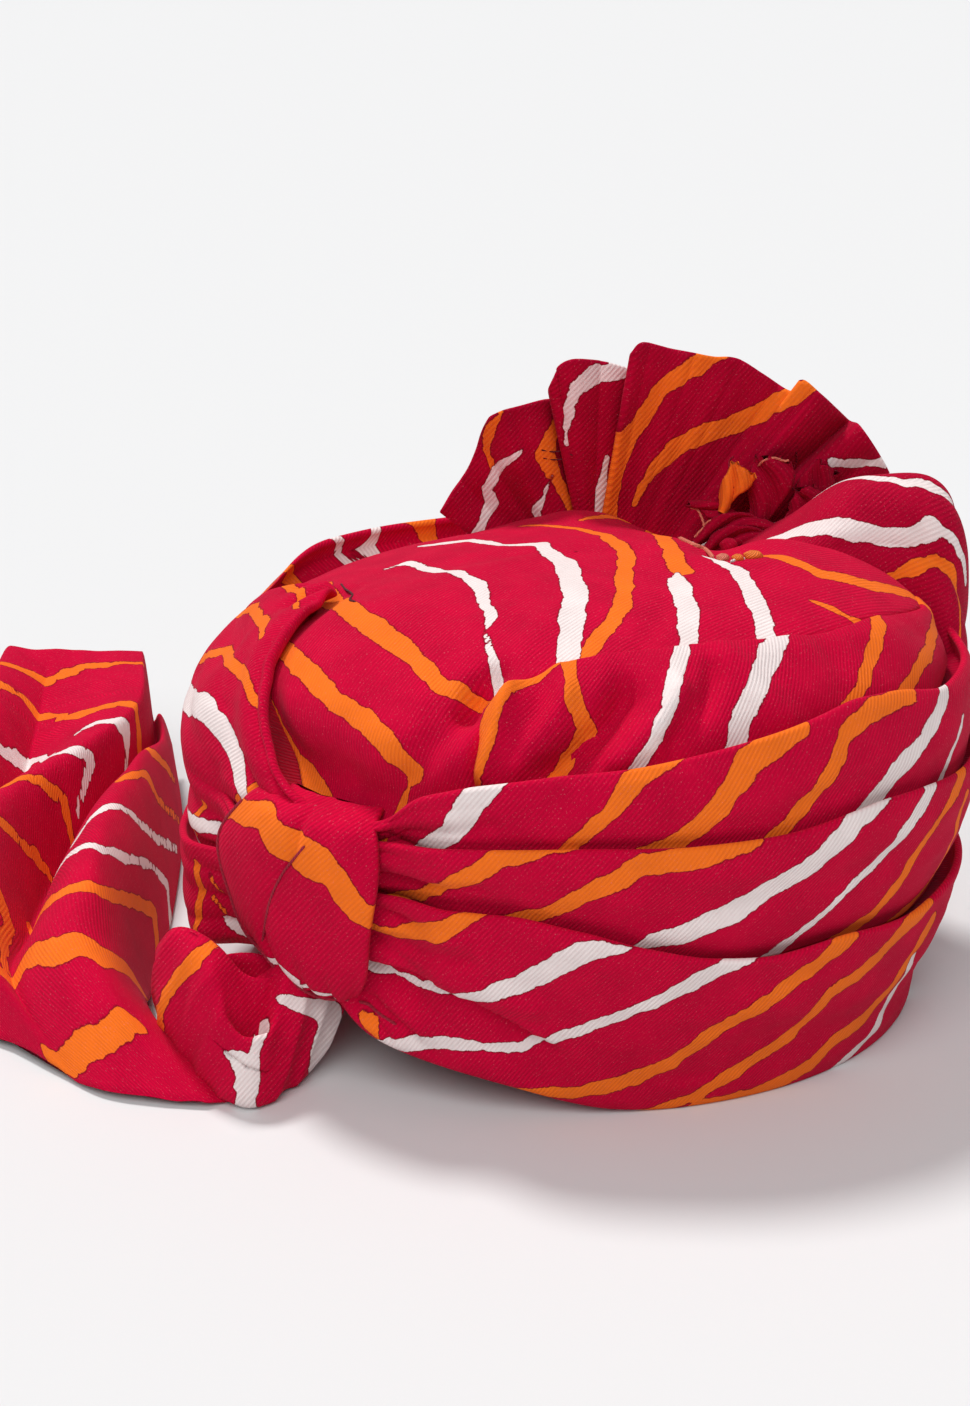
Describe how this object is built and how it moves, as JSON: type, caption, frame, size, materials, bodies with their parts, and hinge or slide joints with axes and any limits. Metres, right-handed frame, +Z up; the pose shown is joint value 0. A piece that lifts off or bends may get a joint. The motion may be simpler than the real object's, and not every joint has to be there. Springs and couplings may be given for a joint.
{
  "type": "tied turban pagri",
  "caption": "Tied turban of wound printed cotton: shingled tiers round an open head hollow, front drape, pleated fan with raw ends, cinching loop and pleated tail.",
  "frame": {"origin": "centre of the bounding box, on the table that the turban and its tail lie on", "axes": "+Z up; -Y towards the front, where the tiers sweep across; +X towards the side away from the tail"},
  "size_m": [0.4124, 0.3216, 0.2235],
  "materials": {
    "printed_cotton": "matt",
    "cut_ends": "matt"
  },
  "bodies": {
    "root": {"cap": "printed_cotton", "wrap_lower": "printed_cotton", "wrap_middle": "printed_cotton", "wrap_upper": "printed_cotton", "drape": "printed_cotton", "shoulder": "printed_cotton", "loop": "printed_cotton", "fan": "printed_cotton", "fan_tuft": "cut_ends", "tail_turn": "printed_cotton", "tail": "printed_cotton"}
  },
  "joints": []
}
